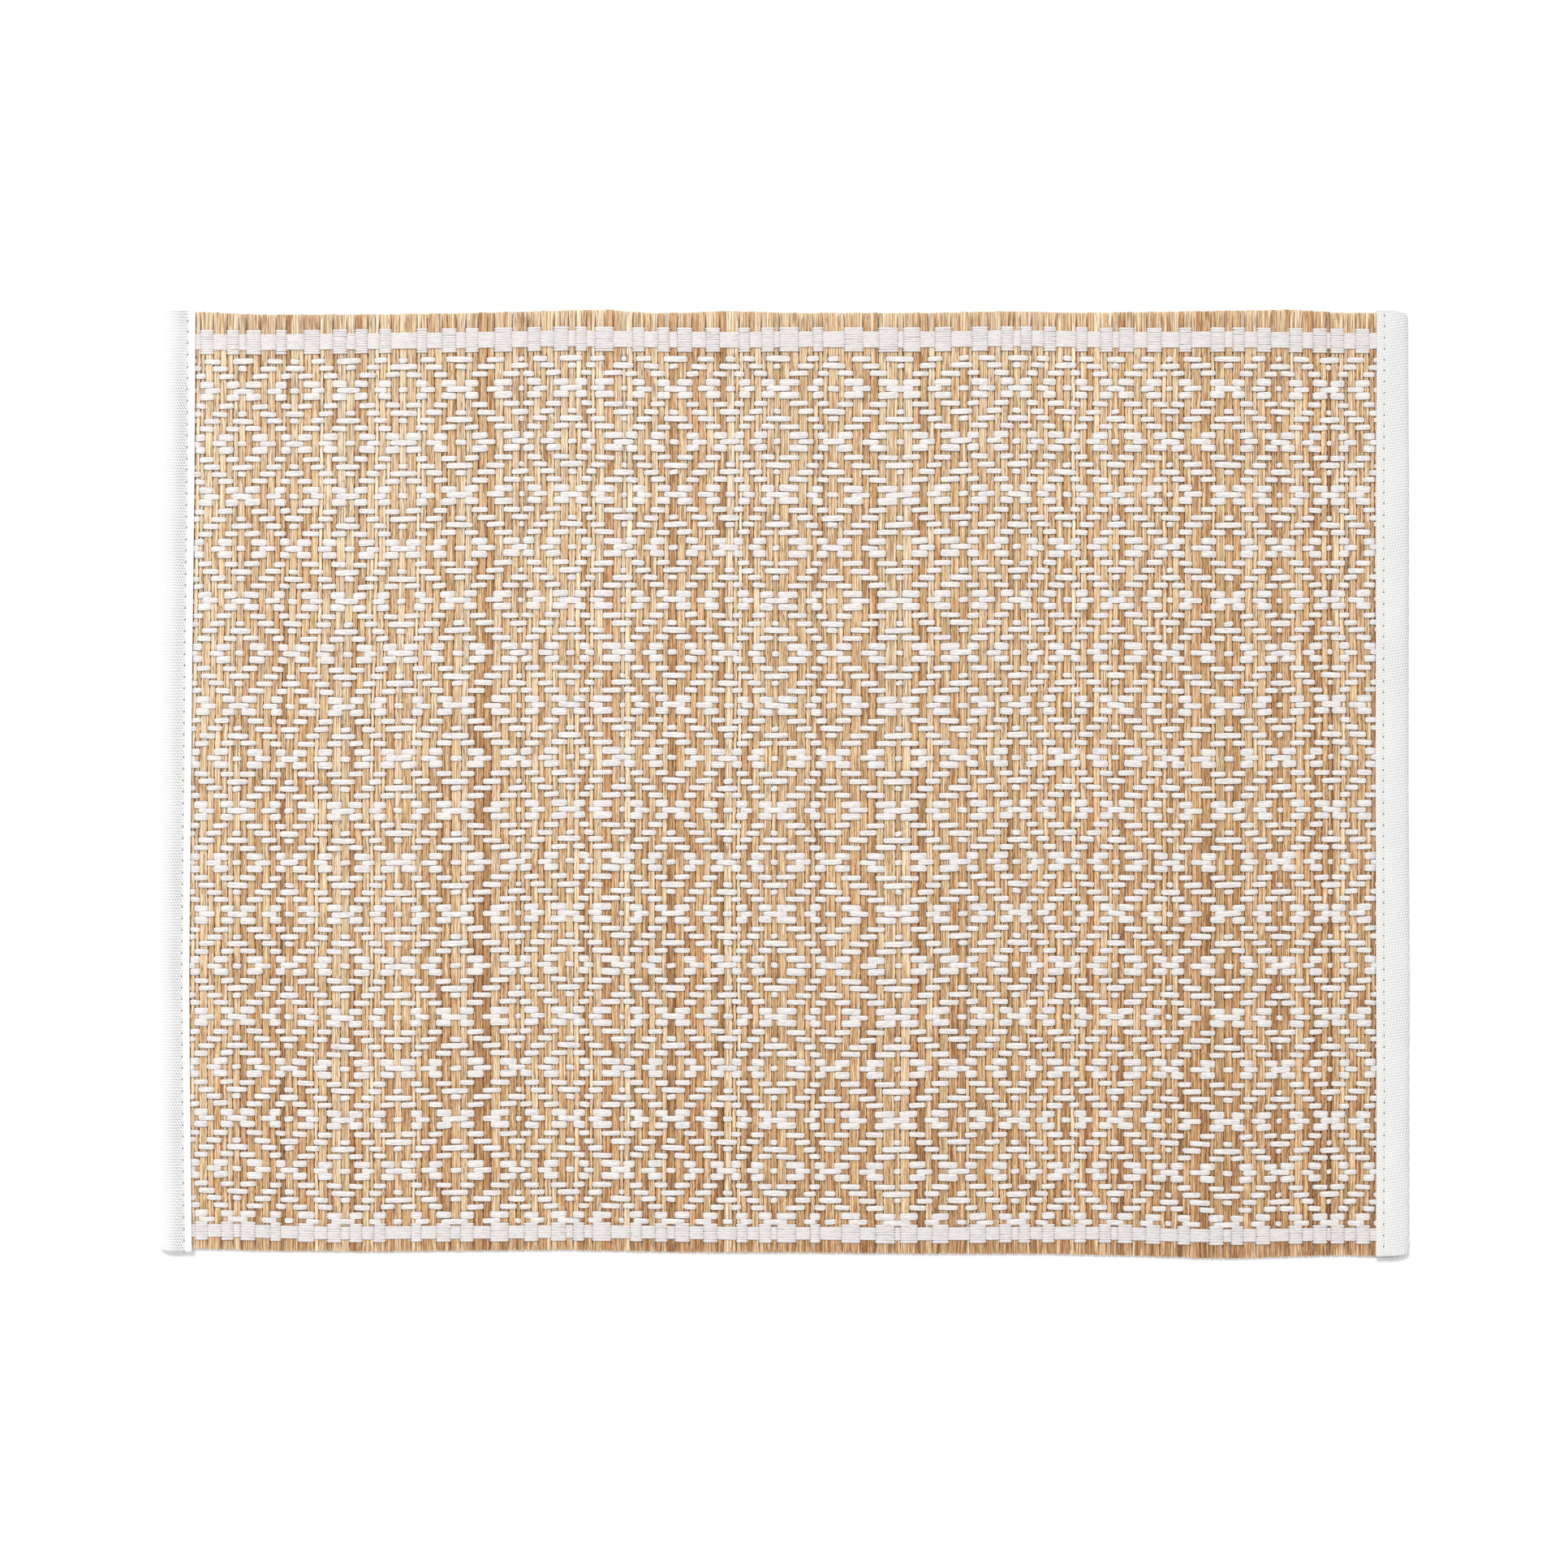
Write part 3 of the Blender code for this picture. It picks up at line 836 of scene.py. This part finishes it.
def add_yarn(bundle, stations, profile, strands):
    """Sweep a section along a yarn's stations, its flat side following the slope."""
    x, y, z, half_width = stations.T
    y = y + row_shift(x, y)
    slope_x = np.gradient(x)
    slope_z = np.gradient(z)
    length = np.hypot(slope_x, slope_z)
    up_x = (-slope_z / length)[:, None]
    up_z = (slope_x / length)[:, None]
    across = profile[None, :, 0] * half_width[:, None]
    rise = profile[None, :, 1] * YARN_HALF
    points = np.stack([x[:, None] + rise * up_x, y[:, None] + across, z[:, None] + rise * up_z], axis=2)
    rings = to_world(points.reshape(-1, 3)).reshape(points.shape)
    steps = np.concatenate([[0.0], np.cumsum(np.hypot(np.diff(x), np.diff(z)))])
    along = np.broadcast_to(steps[:, None], across.shape)
    parting = np.broadcast_to((profile[None, :, 0] + 1) * strands / 2, across.shape)
    bundle.add(rings, {"along": along, "parting": parting})


def build_rows(weave, rows, material):
    """The cotton rows of the field, joined into a few pieces."""
    draw = random.Random(SEED + 11)
    profile = float_profile()
    pieces = []
    per_piece = math.ceil(len(rows) / ROW_PIECES)
    for start in range(0, len(rows), per_piece):
        bundle = Bundle()
        for row in rows[start:start + per_piece]:
            half_width = YARN_HALF_WIDTHS[row["strands"]]
            rise = YARN_RISE + (LAST_ROW_RISE if row is rows[-1] else 0.0)
            stations = yarn_stations(weave, row["shaft"], row["y"], half_width, draw, rise=rise)
            add_yarn(bundle, stations, profile, row["strands"])
        pieces.append(bundle.build(f"cotton_rows_{len(pieces) + 1}", material))
    return pieces


def build_borders(weave, material):
    """The two cotton borders, strand by strand."""
    draw = random.Random(SEED + 13)
    profile = strand_profile()
    pieces = []
    for number, border in enumerate(BORDERS):
        bundle = Bundle()
        for group in border["groups"]:
            for strand in range(group["strands"]):
                offset = ((group["strands"] - 1) / 2 - strand) * group["pitch"]
                half_width = group["pitch"] * group["closeness"]
                y = border["middle"] + offset
                stations = yarn_stations(
                    weave, group["shaft"], y, half_width, draw, swell=1.0, stray=0.04, taper=0.75
                )
                add_yarn(bundle, stations, profile, 0)
        pieces.append(bundle.build(f"cotton_border_{number + 1}", material))
    return pieces


def tape_section(outer, inner, dip):
    """The tape's outer surface from the upper leaf's edge round the fold and back."""
    radius = TAPE_STACK / 2
    seam = inner + STITCH_INSET
    near_seam = [inner] + [seam + step for step in SEAM_STEPS]
    leaf = np.linspace(seam + LEAF_START, outer - radius, TAPE_LEAF_STEPS, endpoint=False)
    straight = np.concatenate([near_seam, leaf])
    sink = dip * np.exp(-((straight - seam) / DIP_REACH) ** 2)
    crown = LEAF_CROWN * np.sin(np.pi * np.clip((straight - seam) / (outer - radius - seam), 0, 1))
    upper = np.stack([straight, TAPE_STACK - sink + crown], axis=1)
    turns = np.linspace(math.pi / 2, -math.pi / 2, TAPE_FOLD_STEPS)
    fold = np.stack([outer - radius + radius * np.cos(turns), radius + radius * np.sin(turns)], axis=1)
    lower = np.stack([straight[::-1], np.minimum(sink[::-1], 0.3)], axis=1)
    return np.concatenate([upper, fold, lower])


def tape_stations(tape):
    """Where the tape is drawn along its length: at its ends, in each needle hole and half way between."""
    draw = random.Random(SEED + 17)
    length = tape["stitch"]
    holes = int((tape["top"] - tape["bottom"]) / length)
    stations = []
    for half in range(1, 2 * holes + 1):
        play = draw.uniform(-STITCH_PLAY, STITCH_PLAY) if half % 2 == 0 else 0.0
        stations.append((tape["bottom"] + half * length / 2 + play, half / 2))
    ends = []
    for inset in END_INSETS:
        ends.append((tape["bottom"] + inset, inset / length))
        ends.append((tape["top"] - inset, (tape["top"] - inset - tape["bottom"]) / length))
    return sorted(stations + ends)


def build_tape(tape, material):
    """One folded tape, as a closed sheet: its outer surface, its inner surface and the cut edges between."""
    outer_rows, inner_rows = [], []
    values = {"dots_across": [], "dots_along": [], "hollow_shade_and_depth": [], "seam": [], "stitch": [], "cut_end_shade": []}
    for y, stitch in tape_stations(tape):
        from_top, from_bottom = tape["top"] - y, y - tape["bottom"]
        from_end = min(from_top, from_bottom)
        rounding = TAPE_CORNER * (1 - math.sqrt(max(0.0, 1 - (1 - min(from_end / TAPE_CORNER, 1.0)) ** 2)))
        outer = read(tape["edges"], "y", y, "outer") - rounding
        inner = read(tape["edges"], "y", y, "inner")
        near_hole = max(0.0, math.cos(2 * math.pi * stitch)) ** 3
        section = tape_section(outer, inner, SEAM_DIP + HOLE_DIP * near_hole)
        direction = np.gradient(section, axis=0)
        direction /= np.linalg.norm(direction, axis=1)[:, None]
        normal = np.stack([-direction[:, 1], direction[:, 0]], axis=1)
        inside = section - normal * TAPE_THICKNESS
        across = section[:, 0] - inner
        drawn_in = tape["drawn_in"] * np.clip(across / (outer - inner), 0, 1) ** 3
        drawn_in *= math.exp(-from_end / DRAWN_REACH)
        ys = y + drawn_in * (1 if from_bottom < from_top else -1)
        outer_rows.append(np.stack([tape["side"] * section[:, 0], ys, section[:, 1]], axis=1))
        inner_rows.append(np.stack([tape["side"] * inside[:, 0], ys, inside[:, 1]], axis=1))
        values["dots_across"].append(across - tape["side"] * tape["lean"] * y / DOT_PITCH)
        values["dots_along"].append((y - tape["rise"] * across) / DOT_PITCH)
        values["hollow_shade_and_depth"].append(read(tape["weave"], "across", across, "hollow_shade_and_depth"))
        values["seam"].append(across - STITCH_INSET)
        values["stitch"].append(np.full(len(across), stitch))
        # painted shade at the cut ends, strongest at the lower one
        frayed = tape["cut_end_shade"] if from_bottom < from_top else TOP_END_SHADE
        values["cut_end_shade"].append(np.full(len(across), frayed * math.exp(-((from_end / END_SHADE_REACH) ** 2))))
    outer_rows, inner_rows = np.array(outer_rows), np.array(inner_rows)
    rings = np.concatenate([outer_rows, inner_rows[:, ::-1]], axis=1) * MM
    points = {}
    for name, rows in values.items():
        rows = np.array(rows)
        points[name] = np.concatenate([rows, rows[:, ::-1]], axis=1)
    if tape["side"] < 0:
        rings = rings[:, ::-1]
        points = {name: rows[:, ::-1] for name, rows in points.items()}
    bundle = Bundle()
    bundle.add(rings, points)
    return bundle.build(f"binding_tape_{tape['name']}", material, sharp=TAPE_SHARP)


def build_stitches(tape, material):
    """The sewing thread of one tape: a run of stitches on top and another underneath."""
    profile = round_profile(THREAD_SIDES)
    holes = [(y, stitch) for y, stitch in tape_stations(tape) if stitch == int(stitch)]
    bundle = Bundle()
    for face in (1, -1):
        stations = []
        for (start, _), (end, _) in zip(holes, holes[1:]):
            for bend in STITCH_BENDS:
                y = mix(start, end, bend["share"])
                x = read(tape["edges"], "y", y, "inner") + STITCH_INSET
                height = bend["height"]
                z = TAPE_STACK - SEAM_DIP + height if face > 0 else THREAD_UNDER - height * 0.4
                stations.append((tape["side"] * x, y, z))
        path = np.array(stations)
        slope = np.gradient(path, axis=0)
        slope /= np.linalg.norm(slope, axis=1)[:, None]
        side = np.tile([1.0, 0.0, 0.0], (len(path), 1))
        up = np.cross(side, slope)
        up[up[:, 2] < 0] *= -1
        around = profile[None, :, :1] * side[:, None] + profile[None, :, 1:] * up[:, None]
        ring = path[:, None, :] + THREAD_HALF * around
        along = np.broadcast_to(path[:, 1:2], ring.shape[:2])
        parting = np.full(ring.shape[:2], 0.5)
        bundle.add(ring[:, ::-1] * MM, {"along": along, "parting": parting})
    return bundle.build(f"stitching_{tape['name']}", material)


def build_floor():
    bpy.ops.mesh.primitive_plane_add(size=FLOOR_SIZE, location=(0, 0, -FLOOR_DROP))
    floor = bpy.context.object
    floor.name = "floor"
    n = Nodes("white paper")
    grain = n.noise((400.0, 400.0, 400.0), 2.0)
    color = n.ramp(grain, [(0.0, (0.945, 0.945, 0.945)), (1.0, (0.965, 0.965, 0.965))])
    floor.data.materials.append(n.surface(color, 0.9, Specular_IOR_Level=0.0))


def build_light():
    world = bpy.data.worlds.new("studio")
    bpy.context.scene.world = world
    world.use_nodes = True
    background = world.node_tree.nodes["Background"]
    background.inputs["Color"].default_value = (1.0, 1.0, 1.0, 1.0)
    background.inputs["Strength"].default_value = ROOM_LIGHT
    data = bpy.data.lights.new("window", "SUN")
    data.energy = WINDOW_LIGHT
    data.angle = math.radians(WINDOW_SPREAD)
    data.color = WINDOW_COLOR
    window = bpy.data.objects.new("window", data)
    window.rotation_euler = [math.radians(turn) for turn in WINDOW_TURN]
    bpy.context.scene.collection.objects.link(window)


def build_camera():
    data = bpy.data.cameras.new("above")
    data.lens = CAMERA_LENS
    data.sensor_width = CAMERA_SENSOR
    camera = bpy.data.objects.new("above", data)
    camera.location = (0, 0, FRAME_WIDTH * CAMERA_LENS / CAMERA_SENSOR * MM)
    bpy.context.scene.collection.objects.link(camera)
    bpy.context.scene.camera = camera
    bpy.context.scene.view_settings.view_transform = "Standard"


def main():
    weave = Weave()
    rows = field_rows()
    yarn = yarn_material("cotton yarn", YARN_COLOR)
    grass = build_grass(weave, cotton_lines(rows), grass_material())
    cotton = build_rows(weave, rows, yarn) + build_borders(weave, yarn)
    tape_look = tape_material()
    for piece in grass + cotton:
        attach(piece, "root")
    for piece in grass:
        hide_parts("woven_mat")
    for tape in TAPES:
        strip = build_tape(tape, tape_look)
        thread = build_stitches(tape, yarn)
        for piece in (strip, thread):
            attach(piece, "root")
        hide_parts(f"binding_{tape['name']}")


build_camera()
main()
build_floor()
build_light()
